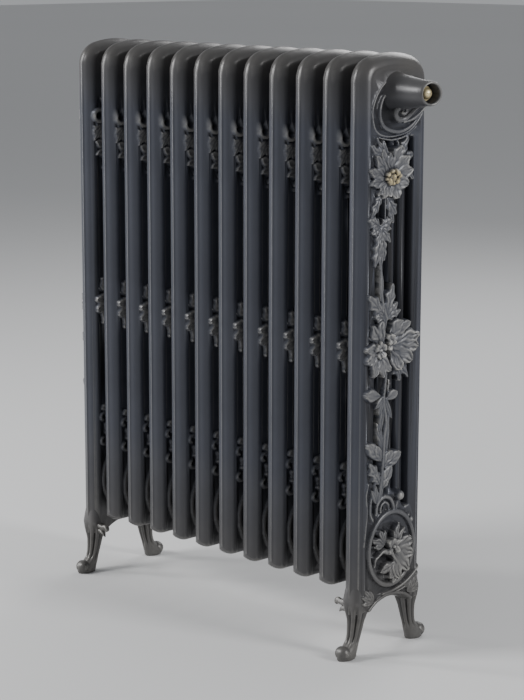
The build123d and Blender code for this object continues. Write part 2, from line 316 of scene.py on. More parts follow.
def middle_flower(y, z):
    y, z = wander(y, z)
    parts = [
        fan(y, z, (-10, 520), [(36, 470, 22), (16, 466, 20), (40, 562, 20), (-62, 548, 16)], 20,
            (2, 4, 3.5), lobes=3, vein=0.8, side_veins=0.6),
        # the big cupped petal on the right, and its neighbours
        fan(y, z, (-14, 528), [(54, 540, 30), (51, 522, 30), (38, 500, 30), (12, 485, 26)], 30,
            (2.5, 5.5, 11), blunt=1.8, cup=2.6, vein=1.4, side_veins=0.3, curl=1.8),
        fan(y, z, (-16, 536), [(14, 570, 28), (34, 566, 18)], 24, (2.5, 6.5, 8.5), blunt=1.5, cup=1.6,
            vein=0.8, side_veins=0.5, curl=0.8),
        fan(y, z, (-30, 530), [(-57, 566, 24), (-36, 574, 22)], 22, (3, 7, 7), blunt=1.2, cup=0.8, vein=1.5,
            side_veins=0.6),
        fan(y, z, (-36, 524), [(-70, 527, 24), (-67, 505, 24), (-53, 481, 25), (-30, 478, 24),
                               (-14, 484, 18)], 24,
            (3, 7.5, 8), blunt=1.45, cup=1.6, vein=1.3, side_veins=0.5, curl=1.3),
        # two small cups at the heart
        fan(y, z, (-36, 522), [(-50, 534, 14), (-38, 541, 12), (-26, 532, 13), (-28, 514, 13),
                               (-44, 510, 13)], 13,
            (6, 9.5, 12), blunt=1.5, cup=1.6, vein=0.6),
        fan(y, z, (-16, 534), [(-22, 549, 13), (-6, 548, 14), (-3, 534, 13), (-14, 521, 13)], 13,
            (7, 10, 12), blunt=1.5, cup=1.2, vein=0.6),
        ball(y, z, (-38, 523), 3.5, 6.5),
        ball(y, z, (-16, 536), 5.0, 7.5),
    ]
    return np.maximum.reduce(parts)


def vine(y, z):
    upper = curve([(-22, 786), (-27, 776), (-28.5, 732), (-37, 718), (-36, 660), (-34, 624), (-29, 596),
                   (-20, 574)])
    lower = curve([(-18, 496), (-22, 458), (-25, 436), (-18, 400), (-23, 374), (-24, 340), (-30, 290),
                   (-36, 262)])
    small = dict(lobes=3, vein=1.1, side_veins=0.8, curl=0.5)
    parts = [
        stalk(y, z, upper, (2.2, 2.0, 3.0, 3.4), 2.5),
        stalk(y, z, lower, (3.0, 4.0, 3.4), 1.5),
        stalk(y, z, curve([(-12, 470), (-15, 432), (-11, 404), (-20, 370)]), (2.2, 2.6), 1.0),
        # pair of leaves that hang beside the stem
        fan(y, z, (-34, 784), [(-49, 760, 16), (-60, 742, 17)], 16, (2, 5, 4), **small),
        fan(y, z, (-22, 776), [(-2, 744, 22), (-8, 730, 16)], 18, (2, 5, 5), **small),
        # leaf cluster and its pendant
        fan(y, z, (-38, 727), [(-66, 741, 20), (-60, 717, 20), (-11, 738, 18), (-13, 722, 14),
                               (-15, 700, 17)], 18,
            (3, 6, 5.5), **small),
        fan(y, z, (-38, 724), [(-50, 661, 22), (-28, 670, 18), (-38, 655, 16)], 18,
            (4, 7, 4), lobes=4, vein=1.1, side_veins=0.9),
        petal(y, z, (-34, 600), (-35, 660), 12, (2.5, 6, 3.5), vein=1.0),
        # forked leaves over the middle flower
        fan(y, z, (-24, 576), [(-65, 617, 26), (-50, 580, 18), (-44, 600, 16)], 20, (3, 6.5, 6.5),
            lobes=3, vein=1.2, side_veins=0.9, curl=0.7),
        fan(y, z, (-22, 574), [(-7, 632, 24), (4, 600, 20), (12, 586, 16)], 20, (3, 6.5, 6), **small),
        fan(y, z, (-24, 590), [(-40, 566, 14), (-24, 556, 12)], 12, (3, 5, 4), vein=0.8),
        # pair under it
        petal(y, z, (-30, 446), (-70, 453), 24, (3, 6.5, 8.5), blunt=1.7, cup=2.2, vein=0.6, curl=0.8),
        petal(y, z, (-22, 438), (4, 450), 19, (3, 6.5, 9), blunt=1.7, cup=2.0, curl=0.6),
        fan(y, z, (-24, 446), [(-36, 414, 13), (-4, 404, 13), (-44, 426, 12)], 12, (3, 5, 3), vein=0.9),
        petal(y, z, (-25, 442), (-34, 372), 13, (3, 4.5, 2.5), vein=1.1, side_veins=0.4),
        petal(y, z, (-22, 330), (-14, 424), 17, (3, 5, 3), vein=1.1, side_veins=0.5),
        petal(y, z, (-30, 336), (-32, 404), 13, (3, 4.5, 2.5), vein=0.9),
        # lower leaf group
        fan(y, z, (-24, 346), [(-40, 402, 14), (-12, 398, 14)], 14, (2, 4.5, 3), vein=1.0, side_veins=0.6),
        fan(y, z, (-28, 334), [(-64, 370, 25), (-46, 364, 18)], 24, (3, 6.5, 8.5), blunt=1.5, cup=1.8,
            vein=0.9, side_veins=0.5, curl=0.8),
        fan(y, z, (-26, 322), [(15, 346, 26), (-6, 352, 20)], 24, (3, 6.5, 8), blunt=1.4, cup=1.4, vein=1.1,
            side_veins=0.7, curl=0.7),
        fan(y, z, (-32, 296), [(-59, 337, 22), (-49, 318, 18)], 20, (3, 6.5, 6.5), **small),
        fan(y, z, (-28, 288), [(-7, 326, 24), (-15, 304, 16)], 20, (3, 7, 7.5), blunt=1.3, cup=1.2, vein=1.0,
            side_veins=0.5),
        fan(y, z, (-36, 262), [(-24, 296, 12), (-52, 290, 12), (-44, 300, 12)], 12, (2, 5, 4), vein=0.9),
        # arched scroll, buds and the outer stems that run to the oval
        stalk(y, z, curve([(-40, 246), (-37, 262), (-28, 271), (-18, 273), (-6, 268), (2, 256),
                           (4, 246)]), (3.0, 4.0, 3.0), 2),
        stalk(y, z, curve([(-28, 247), (-26, 258), (-18, 263), (-9, 258), (-7, 248)]), (2.0, 2.6, 2.0), 1),
        ball(y, z, (17.5, 269), 9.0, 1.5),
        stalk(y, z, curve([(15, 262), (11, 252), (12, 240)]), (3.2, 2.2), 1),
        ball(y, z, (46.5, 222), 5.5, 1.5),
        ball(y, z, (41, 230), 3.5, 1.0),
    ]
    return np.maximum.reduce(parts)


def outer_stems(y, z):
    return np.maximum(
        stalk(y, z, curve([(-58, 300), (-63, 280), (-61, 255), (-63, 225), (-66, 195)]), (2.0, 2.8, 1.4),
              0.8),
        stalk(y, z, curve([(-44, 290), (-52, 270), (-53, 250), (-46, 236)]), (2.4, 3.0, 2.0), 1))


OVAL = (-1.0, 181.0)
OVAL_HALF = (55.0, 63.0)


def oval_flower(y, z):
    y, z = wander(y, z)
    parts = [
        # spiky leaves at the upper left and one upright
        fan(y, z, (-16, 190), [(-48, 204, 13), (-30, 217, 11), (-44, 188, 11), (-18, 214, 10)], 12,
            (3, 5, 4), vein=1.4, side_veins=0.3),
        fan(y, z, (8, 186), [(14, 223, 13), (29, 211, 13), (3, 210, 11)], 13, (4, 7, 6), vein=1.2),
        # petals that hang down the right side
        fan(y, z, (2, 180), [(45, 190, 25), (47, 163, 27), (36, 138, 28), (14, 125, 25)], 26,
            (3, 6.0, 10), blunt=2.3, cup=2.6, vein=0.8, side_veins=0.0, curl=1.6),
        fan(y, z, (14, 158), [(-8, 128, 18), (2, 120, 14)], 16, (3, 6, 8), blunt=1.4, cup=1.4, vein=1.0,
            curl=1.0),
        # small cup at the heart
        fan(y, z, (0, 182), [(-13, 195, 14), (2, 199, 13), (14, 192, 13), (14, 176, 13), (-10, 174, 13)], 13,
            (6, 9, 11.5), blunt=1.5, cup=1.8, vein=0.6),
        ball(y, z, (1, 184), 4.0, 7),
        # crescent leaf round the dark hollow
        stalk(y, z, curve([(-45, 156), (-38, 171), (-22, 178), (-6, 174), (6, 164), (12, 150)]),
              (2.0, 4.5, 3.4), 3.5),
        petal(y, z, (12, 158), (-28, 141), 16, (5, 6, 3), blunt=1.2, vein=1.0, side_veins=0.5),
    ]
    return np.maximum.reduce(parts)


def knee_leaves(y, z):
    """Leaf tufts over the legs and below the slanting ribs."""
    parts = []
    for side in (-1, 1):
        leaves = [(64, 119, 13), (53, 117, 11), (70, 108, 12), (71, 96, 10)]
        parts.append(fan(y * side, z, (42, 94), leaves, 12,
                         (2, 4.5, 3), vein=1.0, side_veins=0.4))
    parts.append(fan(y, z, (34, 104), [(66, 124, 12), (60, 112, 10), (48, 120, 9)], 10, (2, 3.5, 2),
                     vein=0.8))
    return np.maximum.reduce(parts)


def knee_ribs(y, z):
    """The lip of the arch and the slanting ribs beside the oval."""
    parts = []
    for side in (-1, 1):
        parts.append(stalk(y * side, z, curve([(52, 82), (36, 93), (16, 99), (0, 101)]), (3.4, 3.0), 0.2))
    parts.append(stalk(y, z, curve([(-20, 104), (14, 107), (44, 117), (72, 136)]), (2.0, 3.0, 2.0), 1.5))
    parts.append(stalk(y, z, curve([(8, 100), (36, 105), (58, 114), (73, 125)]), (2.0, 1.6), 0.8))
    return np.maximum.reduce(parts)


def end_volute(y, z):
    """The scroll that the vent hood grows from."""
    outer = curve([(6, 974), (-14, 966), (-36, 952), (-51, 933), (-58, 910), (-51, 884), (-30, 873),
                   (0, 872), (30, 878), (50, 892), (63, 906)], 60)
    ring = curve([(-20, 946), (-36, 931), (-42, 908), (-33, 889), (-12, 880), (12, 879), (36, 888),
                  (58, 907)], 60)
    inner = curve([(16, 893), (34, 896), (50, 903), (66, 914)], 40)
    tails = curve([(-38, 870), (-10, 866), (20, 870), (48, 884)], 24)
    return np.maximum.reduce([
        stalk(y, z, outer, (1.4, 2.4, 1.4), 0.4),
        stalk(y, z, ring, (2.4, 4.0, 2.4), 1.6),
        stalk(y, z, inner, (2.0, 3.4, 2.4), 2.0),
        stalk(y, z, tails, (1.4, 2.2, 1.2), 0.3),
    ])


GAP_EYE = (57.0, 867.0)


def gap_volute(y, z):
    """Scroll rings either side of the upper hub, which the narrow gaps show."""
    parts = []
    for side in (-1, 1):
        parts.append(stalk(y * side, z, spiral(GAP_EYE, 10.8, 10.8, 0, 1.0), (3.8, 3.8), 4.5))
        parts.append(stalk(y * side, z, curve([(52, 898), (42, 886), (40, 868), (48, 852)]),
                           (1.6, 2.8, 1.6), 2))
        leaves = [(70, 838, 16), (68, 822, 16), (52, 822, 16), (36, 838, 16)]
        parts.append(fan(y * side, z, (52, 850), leaves, 15,
                         (4, 7, 5), lobes=3, vein=1.0, side_veins=0.6))
    return np.maximum.reduce(parts)


def lower_scrolls(y, z):
    """C-scrolls over the lower hub, seen in the gaps."""
    parts = []
    for side in (-1, 1):
        parts.append(stalk(y * side, z, spiral((54, 300), 15, 5, 250, -0.85), (4.0, 3.0), 2.5))
        parts.append(stalk(y * side, z, spiral((54, 258), 14, 5, 110, 0.85), (4.0, 3.0), 2.5))
    return np.maximum.reduce(parts)


def ornament(y, z, kind):
    """Leafwork and plain mouldings of one face, as heights above the plane of the face."""
    leaves = [top_flower(y, z), middle_flower(y, z), vine(y, z)]
    mouldings = [oval_rim(y, z, OVAL, *OVAL_HALF, 4.2, 1.5, 4.5)]
    if kind in ("middle", "ports"):
        leaves.append(gap_volute(y, z))
    if kind == "middle":
        mouldings.append(lower_scrolls(y, z))
        shown = sum((z > low + 4) & (z < high - 4) for low, high in MIDDLE_ZONES) > 0
        leaves = [np.where(shown, form, LOW) for form in leaves]
    if kind == "hood":
        mouldings.append(end_volute(y, z))
        leaves.append(oval_flower(y, z))
    if kind in ("hood", "ports"):
        leaves.append(knee_leaves(y, z))
        mouldings += [knee_ribs(y, z), outer_stems(y, z)]
    return np.maximum.reduce(leaves), np.maximum.reduce(mouldings)


def soften(height, reach):
    """The mean over a square of grid points."""
    for axis in (0, 1):
        pad = [(reach, reach) if axis == k else (0, 0) for k in (0, 1)]
        wide = np.pad(height, pad, mode="edge")
        count = height.shape[axis]
        shifts = range(2 * reach + 1)
        height = sum(np.take(wide, range(k, k + count), axis) for k in shifts) / len(shifts)
    return height


def face_height(y, z, kind, legged, relief, margin=6.5):
    """Half thickness with ornament, and how strongly the dry brush catches each point, with painted
    highlight on the high tips and painted shade at the low roots.
    """
    base = plain_height(y, z, legged)
    if kind == "hood":
        ratio = np.hypot((y - OVAL[0]) / OVAL_HALF[0], (z - OVAL[1]) / OVAL_HALF[1])
        base = base - 5.0 * (1 - smooth(ratio, 0.72, 0.97))
    else:
        eye = np.hypot(np.abs(y) - GAP_EYE[0], z - GAP_EYE[1])
        base = base - 9.0 * (1 - smooth(eye, 4.5, 7.5))
    leaves, mouldings = ornament(y, z, kind)
    form = np.maximum(leaves, mouldings)
    fade = smooth(side_distance(y, z), margin, margin + 5) * smooth(foot_distance(y, z, legged), 0.5, 4)
    raised = np.where(form > 0.2, FACE + form * relief, LOW)
    raised = np.where(fade > 0, base + (raised - base) * fade, LOW)
    height = np.maximum(base, raised)
    on_ornament = np.clip((height - base) / 1.2, 0, 1)
    covered = (form > 0.2) * 1.0
    around = soften(covered * form, 3) / np.maximum(soften(covered, 3), 1e-3)
    crest = form - around
    # partly painted light: the 0.045 * (form - 6) term is a painted highlight on high tips and painted shade
    # at low roots; the crest term is the dry brush on raised edges
    mark = on_ornament * np.clip(0.18 + 0.22 * crest + 0.045 * (form - 6), 0.03, 1.0)
    mark = np.where(mouldings > leaves, 0.45 * mark, mark) * (1.4 if kind == "middle" else 1.0)
    gilt = on_ornament * heart_bead(y, z) * (leaves > 4)
    return height, mark, gilt


# ---- the section's skin --------------------------------------------------------------------
EDGE_STOPS = [HALF_DEPTH - d for d in NOSE_STEPS]
SLOT_STOPS = [edge + step for low, high, foot in SLOTS
              for edge, way in ((low, -1), (high, 1)) for step in (0, 0.3 * way, 1.1 * way, 2.4 * way)]


def section_grid(fine, coarse, zones, legged):
    """Rows of points over the whole section, in y and z."""
    across = spread([-v for v in EDGE_STOPS] + EDGE_STOPS + SLOT_STOPS + [0.0], lambda v: fine)
    s = across / HALF_DEPTH

    def step(z):
        return fine if any(low <= z <= high for low, high in zones) else coarse

    start = ARCH_Z if legged else BOTTOM
    foot = [start + d for d in NOSE_STEPS if start + d < BOTTOM + BEVEL_Z]
    slot_ends = sorted({slot[2] for slot in SLOTS})
    stops = foot + [BOTTOM + BEVEL_Z, SLOT_HIGH, SLOT_HIGH + 1, WARP_Z]
    stops += slot_ends + [end - 1 for end in slot_ends]
    stops += [edge for zone in zones for edge in zone if BOTTOM + BEVEL_Z < edge < WARP_Z]
    rows = spread(stops, step)
    top_rows = spread([WARP_Z] + [TOP - d for d in NOSE_STEPS], step)[1:]

    y, z = np.meshgrid(s * HALF_DEPTH, rows)
    t = np.clip((z - start) / (BOTTOM + BEVEL_Z - start), 0, 1)
    if legged:
        z = np.where(t < 1, arch_height(y) + t * (BOTTOM + BEVEL_Z - arch_height(y)), z)
    else:
        y = y * (1 - BEVEL_Y / HALF_DEPTH * (1 - np.sqrt(1 - (1 - t) ** 2)))

    # the upper rows bend round the corners, between four edge curves
    quarter = (pi / 4) * CORNER_R
    rise = CORNER_Z - WARP_Z
    top_t = (top_rows - WARP_Z) / (TOP - WARP_Z)

    def side_point(t):
        length = t * (rise + quarter)
        turn = np.maximum(length - rise, 0) / CORNER_R
        return np.stack([CORNER_Y + CORNER_R * np.cos(turn),
                         WARP_Z + np.minimum(length, rise) + CORNER_R * np.sin(turn)], -1)

    rest = (pi / 2 - CROWN_ANGLE - pi / 4) * CORNER_R
    crown_length = CROWN_ANGLE * CROWN_R

    def top_point(s):
        length = np.abs(s) * (crown_length + rest)
        on_crown = np.minimum(length, crown_length) / CROWN_R
        turn = pi / 2 - CROWN_ANGLE - np.maximum(length - crown_length, 0) / CORNER_R
        crown = np.stack([CROWN_R * np.sin(on_crown), CROWN_Z + CROWN_R * np.cos(on_crown)], -1)
        corner = np.stack([CORNER_Y + CORNER_R * np.cos(turn), CORNER_Z + CORNER_R * np.sin(turn)], -1)
        point = np.where((length > crown_length)[:, None], corner, crown)
        return point * np.stack([np.sign(s), np.ones_like(s)], -1)

    right = side_point(top_t)[:, None, :]
    left = right * np.array([-1, 1])
    upper = top_point(s)[None, :, :]
    lower = np.stack([s * HALF_DEPTH, np.full_like(s, WARP_Z)], -1)[None, :, :]
    a = ((1 + s) / 2)[None, :, None]
    b = top_t[:, None, None]
    corners = ((1 - a) * (1 - b) * lower[:, :1] + a * (1 - b) * lower[:, -1:]
               + (1 - a) * b * upper[:, :1] + a * b * upper[:, -1:])
    bent = (1 - b) * lower + b * upper + (1 - a) * left + a * right - corners
    return np.vstack([y, bent[:, :, 0]]), np.vstack([z, bent[:, :, 1]])


def skin(y, z, front_face, back_face):
    """Closes the two faces over their shared outline. Returns points, quads, marks and gilt."""
    front, back = front_face[0], back_face[0]
    rows, columns = y.shape
    flat = (front <= 1e-6) & (back <= 1e-6)
    front_id = np.arange(rows * columns).reshape(rows, columns)
    back_id = np.where(flat, front_id, rows * columns + front_id)
    solid = ~flat
    keep = solid[:-1, :-1] | solid[1:, :-1] | solid[:-1, 1:] | solid[1:, 1:]

    def quads(ids, forward):
        corner = [ids[:-1, :-1], ids[:-1, 1:], ids[1:, 1:], ids[1:, :-1]]
        if not forward:
            corner.reverse()
        return np.stack([c[keep] for c in corner], -1)

    points = np.concatenate([
        np.stack([front, y, z], -1).reshape(-1, 3),
        np.stack([-back, y, z], -1).reshape(-1, 3)])
    faces = np.concatenate([quads(front_id, True), quads(back_id, False)])
    marks = np.concatenate([front_face[1].ravel(), back_face[1].ravel()])
    gilt = np.concatenate([front_face[2].ravel(), back_face[2].ravel()])
    used = np.unique(faces)
    renumber = np.full(len(points), -1)
    renumber[used] = np.arange(len(used))
    return points[used], renumber[faces], marks[used], gilt[used]


# ---- turned and lofted shells -----------------------------------------------------------------
def turned(profile, centre, sides=64, closed=True):
    """A shell turned about the row's axis: profile is (x, radius) points."""
    profile = np.array(profile, float)
    angle = np.linspace(0, 2 * pi, sides, endpoint=False)
    x = np.repeat(profile[:, :1], sides, 1)
    radius = np.repeat(profile[:, 1:], sides, 1)
    points = np.stack([x + centre[0], centre[1] + radius * np.cos(angle),
                       centre[2] + radius * np.sin(angle)], -1)
    return points.reshape(-1, 3), tube_faces(len(profile), sides, closed)


def tube_faces(rings, sides, closed):
    faces = []
    for i in range(rings if closed else rings - 1):
        j = (i + 1) % rings
        for k in range(sides):
            m = (k + 1) % sides
            faces.append((i * sides + k, i * sides + m, j * sides + m, j * sides + k))
    return np.array(faces)


def lofted(rings):
    """A closed shell through rings of equal point counts, with both ends filled."""
    rings = np.array(rings, float)
    count, sides = rings.shape[:2]
    faces = [tuple(f) for f in tube_faces(count, sides, False)]
    points = np.concatenate([rings.reshape(-1, 3), rings[:1].mean(1), rings[-1:].mean(1)])
    first, last = count * sides, count * sides + 1
    for k in range(sides):
        m = (k + 1) % sides
        faces.append((first, m, k, k))
        faces.append((last, (count - 1) * sides + k, (count - 1) * sides + m, (count - 1) * sides + m))
    return points, np.array(faces)


def build_mesh(name, shells, smooth_angle=50):
    """One mesh of several shells: each is (points in mm, faces, marks, gilt)."""
    offset = 0
    points, faces, marks, gilt = [], [], [], []
    for shell in shells:
        p, f, m, g = (*shell, 0.0, 0.0)[:4]
        points.append(p)
        faces += [tuple(dict.fromkeys(q)) for q in (f + offset).tolist()]
        marks.append(np.broadcast_to(m, len(p)))
        gilt.append(np.broadcast_to(g, len(p)))
        offset += len(p)
    mesh = bpy.data.meshes.new(name)
    mesh.from_pydata((np.concatenate(points) * MM).tolist(), [], faces)
    for layer_name, values in (("relief", marks), ("gilt", gilt)):
        layer = mesh.attributes.new(layer_name, "FLOAT", "POINT")
        layer.data.foreach_set("value", np.concatenate(values).astype(np.float32))
    mesh.validate()
    mesh.update()
    mesh.polygons.foreach_set("use_smooth", [True] * len(mesh.polygons))
    mesh.set_sharp_from_angle(angle=radians(smooth_angle))
    return mesh


def thin_out(mesh, ratio, zones):
    """A lighter copy of the mesh, collapsed only inside the zones of height that carry ornament."""
    scratch = bpy.data.objects.new("scratch", mesh)
    bpy.context.scene.collection.objects.link(scratch)
    place_of = np.empty(len(mesh.vertices) * 3)
    mesh.vertices.foreach_get("co", place_of)
    z = place_of[2::3] / MM
    inner = np.abs(place_of[1::3] / MM) < HALF_DEPTH - 6
    free = np.zeros(len(z), bool)
    for low, high in zones:
        free |= inner & (z > low + 3) & (z < high - 3)
    group = scratch.vertex_groups.new(name="free")
    group.add(np.flatnonzero(free).tolist(), 1.0, "REPLACE")
    collapse = scratch.modifiers.new("collapse", "DECIMATE")
    collapse.ratio = ratio
    collapse.vertex_group = group.name
    evaluated = scratch.evaluated_get(bpy.context.evaluated_depsgraph_get())
    light = bpy.data.meshes.new_from_object(evaluated)
    bpy.data.objects.remove(scratch)
    return light


def place(name, mesh, x, body, slot, materials):
    piece = bpy.data.objects.new(name, mesh)
    piece.location = (x * MM, 0, 0)
    bpy.context.scene.collection.objects.link(piece)
    mesh.materials.clear()
    for material in materials:
        mesh.materials.append(material)
    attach(piece, body)
    return piece


# ---- legs ------------------------------------------------------------------------------------
LEG_STATIONS = np.array([
    # height, distance out, half width along the row, half width across
    (150, 56, 13.0, 15.0),
    (130, 57.5, 17.0, 18.2),
    (114, 58.6, 18.8, 19.8),
    (98, 59.8, 19.9, 20.4),
    (84, 61, 19.3, 19.0),
    (66, 62.6, 16.0, 15.7),
    (50, 65, 13.7, 13.7),
    (38, 67.5, 12.5, 12.5),
    (29, 70.5, 12.0, 12.5),
    (22, 75, 12.0, 15.5),
    (15, 80.5, 12.3, 19.0),
    (9, 84, 12.8, 20.5),
    (3, 84.5, 12.5, 20.0),
    (0, 84.5, 11.0, 18.0),
])
TOE_R, TOE_HALF_WIDTH = 12.0, 13.5
TOE_Y, TOE_Z = 93.2, 12.2


def leg_shell(side):
    heights = np.concatenate([np.linspace(150, 30, 46), np.linspace(28, 3, 20), [1.8, 0.8, 0]])
    columns = LEG_STATIONS[::-1].T
    out, along, across = [np.interp(heights, columns[0], columns[k]) for k in (1, 2, 3)]
    sides = 96
    angle = np.linspace(0, 2 * pi, sides, endpoint=False)
    rings = []
    for z, o, a, c in zip(heights, out, along, across):
        flute = smooth(z, 16, 36) * (1 - smooth(z, 72, 96))
        power = 2 + 1.6 * smooth(z, 62, 86) * (1 - 0.6 * smooth(z, 92, 124))
        corner = (np.abs(np.cos(angle)) ** power + np.abs(np.sin(angle)) ** power) ** (-1 / power)
        swing = np.abs(np.cos(4 * angle))
        wave = corner * (1 - flute * (0.10 * swing**1.6 + 0.15 * swing**9))
        # a waist lets the toe stand out in front of the ankle
        toe = 0.16 * smooth(np.sin(angle), 0.1, 0.9) * (1 - smooth(z, 14, 26))
        rings.append(np.stack([a * (wave - toe) * np.cos(angle), side * (o + c * wave * np.sin(angle)),
                               np.full(sides, z)], -1))
    if side > 0:
        rings = [r[::-1] for r in rings]
    return lofted(rings)


def toe_shell(side):
    """The rolled toe at the foot's outer end."""
    sides = 32
    rings = []
    turn = np.linspace(0, 2 * pi, sides, endpoint=False)
    for u in np.linspace(-1, 1, 17):
        r = TOE_R * (1 - abs(u) ** 2.4) ** 0.5 + 0.05
        out = side * (TOE_Y + r * np.cos(turn))
        rings.append(np.stack([np.full(sides, TOE_HALF_WIDTH * u), out, TOE_Z + r * np.sin(turn)], -1))
    if side > 0:
        rings = [r[::-1] for r in rings]
    return lofted(rings)


def rope(path, sizes, sides=14, squash=1.0, ripple=0.0):
    """A round bar along a path of points in space, as thick as sizes says from end to end."""
    path = np.array(path, float)
    radii = np.interp(np.linspace(0, 1, len(path)), np.linspace(0, 1, len(sizes)), sizes)
    run = np.gradient(path, axis=0)
    run /= np.linalg.norm(run, axis=1)[:, None]
    normal = np.cross(run[0], (0.3, 0.5, 0.81))
    rings = []
    turn = np.linspace(0, 2 * pi, sides, endpoint=False)
    for point, way, radius in zip(path, run, radii):
        normal = normal - way * (normal @ way)
        normal /= np.linalg.norm(normal)
        other = np.cross(way, normal)
        size = radius * (1 + ripple * np.cos(3 * turn))
        ring = np.outer(size * np.cos(turn), normal) + np.outer(squash * size * np.sin(turn), other)
        rings.append(point + ring)
    return lofted(rings)


def curve_in_space(points, count=40):
    points = np.array(points, float)
    flat = curve(points[:, :2], count)
    return np.column_stack([flat, curve(points[:, 1:], count)[:, 1]])


def knee_curl(side, inward):
    """The leaf that curls from the knee along the row and droops at its tip."""
    stem = curve_in_space([(inward * 8, side * 61, 90), (inward * 20, side * 64, 89),
                           (inward * 30, side * 65.5, 89), (inward * 37, side * 66, 91),
                           (inward * 40, side * 66, 87), (inward * 38, side * 66, 84)])
    blade = curve_in_space([(inward * 8, side * 60, 81), (inward * 18, side * 63, 80),
                            (inward * 27, side * 65, 78), (inward * 34, side * 66, 72)])
    return [rope(stem, (12, 8.5, 6.4, 6.0, 5.0, 2.5), 20, 0.8, 0.12),
            rope(blade, (11, 8.0, 5.5, 1.2), 18, 0.8, 0.12)]


def leg_shells(inward):
    shells = []
    for side in (-1, 1):
        points, faces = leg_shell(side)
        shells.append((points, faces, WORN["leg"] * (1 - smooth(points[:, 2], 20, 70))))
        shells.append(toe_shell(side) + (WORN["toe"],))
        shells += [curl + (WORN["curl"],) for curl in knee_curl(side, inward)]
    return shells


# ---- hubs and the hood -------------------------------------------------------------------------
def hub_shell(height, start, end):
    return turned([(start, HUB_BORE_R), (start, HUB_R - 1), (start + 1, HUB_R), (end - 1, HUB_R),
                   (end, HUB_R - 1), (end, HUB_BORE_R)], (0, 0, height), 48)


MOUTH_SLOPE = radians(15)
MOUTH_R = 20.0
HOOD_BORE_R = 15.5
AIR_WAY_R = 6.6


def hood_sizes():
    mouth = box_mm("section_12")[1][0] - SECTION_X[12]
    seat = box_mm("vent_washer")[0][0] - SECTION_X[12]
    outer = curve([(8, 40), (14, 35), (20, 32), (28, 29.6), (40, 27.2), (54, 24.8), (70, 22.4), (84, 20.9),
                   (mouth - 3, MOUTH_R)], 64)
    return mouth, seat, outer


def hood_shell():
    mouth, seat, outer = hood_sizes()
    lip = arc_points((mouth - 3, MOUTH_R), (mouth - 0.6, MOUTH_R - 1), (mouth, 17.4), 6)[1:]
    bore = [(mouth - 1.4, HOOD_BORE_R + 0.3), (mouth - 4, HOOD_BORE_R), (seat, HOOD_BORE_R)]
    bore += [(seat, AIR_WAY_R), (seat - 3, AIR_WAY_R), (12, AIR_WAY_R)]
    points, faces = turned(list(map(tuple, outer)) + list(map(tuple, lip)) + bore, (0, 0, HOOD_Z), 72)
    # the mouth is cut back towards the front
    slope = np.tan(MOUTH_SLOPE) * (19.8 - points[:, 1])
    points[:, 0] -= slope * smooth(points[:, 0], seat + 4, mouth)
    return points, faces


def hood_scroll():
    """The ridge that runs along the underside of the hood and curls into an eye at its root."""
    eye = curve_in_space([(82, 0, -20.5), (62, 6, -22), (48, 12, -27), (36, 15, -35), (30, 9, -43),
                          (28, -3, -45), (29, -12, -38), (31, -13, -29), (35, -5, -22), (36, 4, -24),
                          (35, 7, -31), (34, 1, -35), (33, -3, -31)], 84)
    sizes = (1.0, 2.6, 3.6, 4.4, 4.6, 4.4, 4.0, 3.6, 3.2, 2.6)
    return rope(eye + np.array([0, 0, HOOD_Z]), sizes, 18) + (WORN["scroll"],)


# ---- materials -----------------------------------------------------------------------------------
class Nodes:
    """A short way to write a node material."""

    def __init__(self, name):
        self.material = bpy.data.materials.new(name)
        self.material.use_nodes = True
        self.tree = self.material.node_tree
        self.shader = self.tree.nodes["Principled BSDF"]

    def add(self, kind, inputs=None, **settings):
        node = self.tree.nodes.new(kind)
        for key, value in settings.items():
            setattr(node, key, value)
        for key, value in (inputs or {}).items():
            if isinstance(value, bpy.types.NodeSocket):
                self.tree.links.new(value, node.inputs[key])
            else:
                node.inputs[key].default_value = value
        return node

    def math(self, operation, a, b=0.0, clamp=False):
        node = self.add("ShaderNodeMath", {0: a, 1: b}, operation=operation, use_clamp=clamp)
        return node.outputs[0]

    def noise(self, scale, detail=4.0, roughness=0.55, vector=None):
        inputs = {"Scale": scale, "Detail": detail, "Roughness": roughness}
        if vector is not None:
            inputs["Vector"] = vector
        return self.add("ShaderNodeTexNoise", inputs).outputs["Fac"]

    def ramp(self, factor, *stops):
        node = self.add("ShaderNodeValToRGB", {"Fac": factor})
        while len(node.color_ramp.elements) < len(stops):
            node.color_ramp.elements.new(0.5)
        for element, (position, colour) in zip(node.color_ramp.elements, stops):
            element.position = position
            element.color = colour if len(colour) == 4 else (*colour, 1)
        return node.outputs["Color"]

    def map_range(self, value, start, end, low, high):
        return self.add("ShaderNodeMapRange", {0: value, 1: start, 2: end, 3: low, 4: high}).outputs[0]

    def mix(self, factor, a, b):
        node = self.add("ShaderNodeMix", data_type="RGBA")
        for index, value in ((0, factor), (6, a), (7, b)):
            if isinstance(value, bpy.types.NodeSocket):
                self.tree.links.new(value, node.inputs[index])
            else:
                node.inputs[index].default_value = value if index == 0 or len(value) == 4 else (*value, 1)
        return node.outputs[2]

    def link(self, socket, name):
        self.tree.links.new(socket, self.shader.inputs[name])

    def bump(self, height, strength, distance):
        node = self.add("ShaderNodeBump", {"Height": height, "Strength": strength, "Distance": distance})
        self.link(node.outputs["Normal"], "Normal")


def grey(value):
    return (value, value, value)


